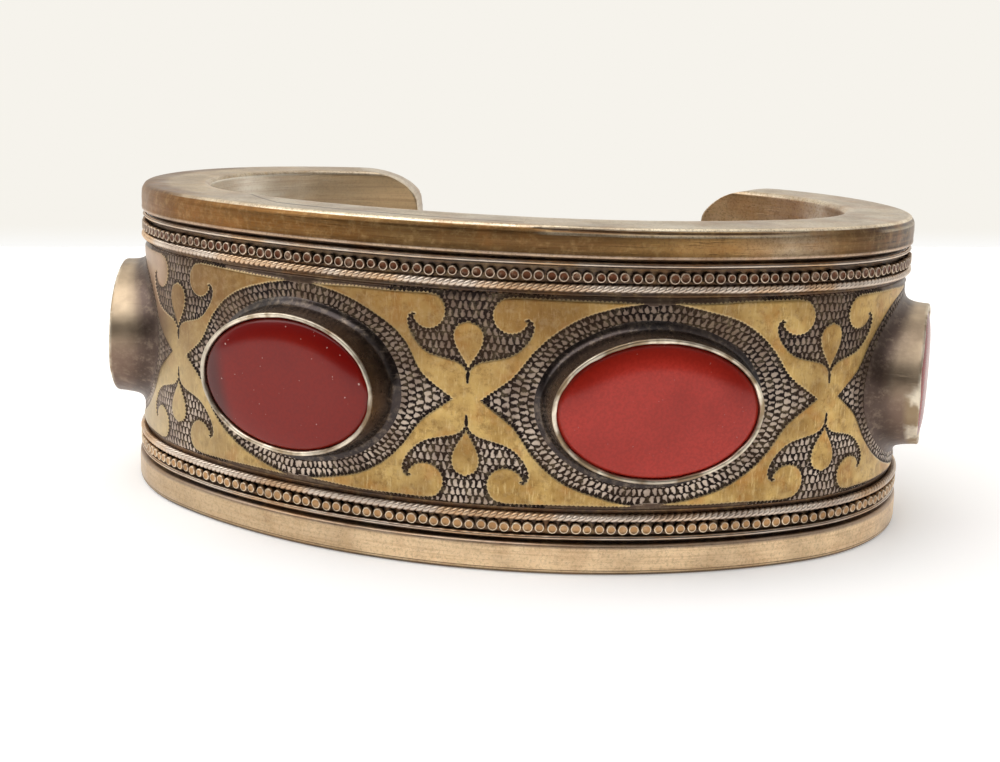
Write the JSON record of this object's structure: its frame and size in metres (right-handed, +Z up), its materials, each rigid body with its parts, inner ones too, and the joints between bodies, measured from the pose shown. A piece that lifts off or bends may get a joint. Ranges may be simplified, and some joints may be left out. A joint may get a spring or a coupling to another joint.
{
  "type": "cuff bracelet",
  "caption": "Open oval cuff bracelet in dark silver with gilt leaf ornament, rope and bead wires along both rims, and oval red cabochons in raised settings.",
  "frame": {"origin": "centre of the bounding box in plan, on the plane that the lower rim rests on", "axes": "+X across the wrist, to the right of a viewer who faces the front; +Y from the ornamented front to the open back; +Z up through the wrist opening"},
  "size_m": [0.0769, 0.0491, 0.0273],
  "materials": {
    "silver": "dark, worn silver with partial gilding",
    "stone": "polished, deep red"
  },
  "bodies": {
    "root": {"cuff_body": "silver", "stone_side_left": "stone", "stone_front_left": "stone", "stone_front_right": "stone", "stone_side_right": "stone"}
  },
  "joints": []
}
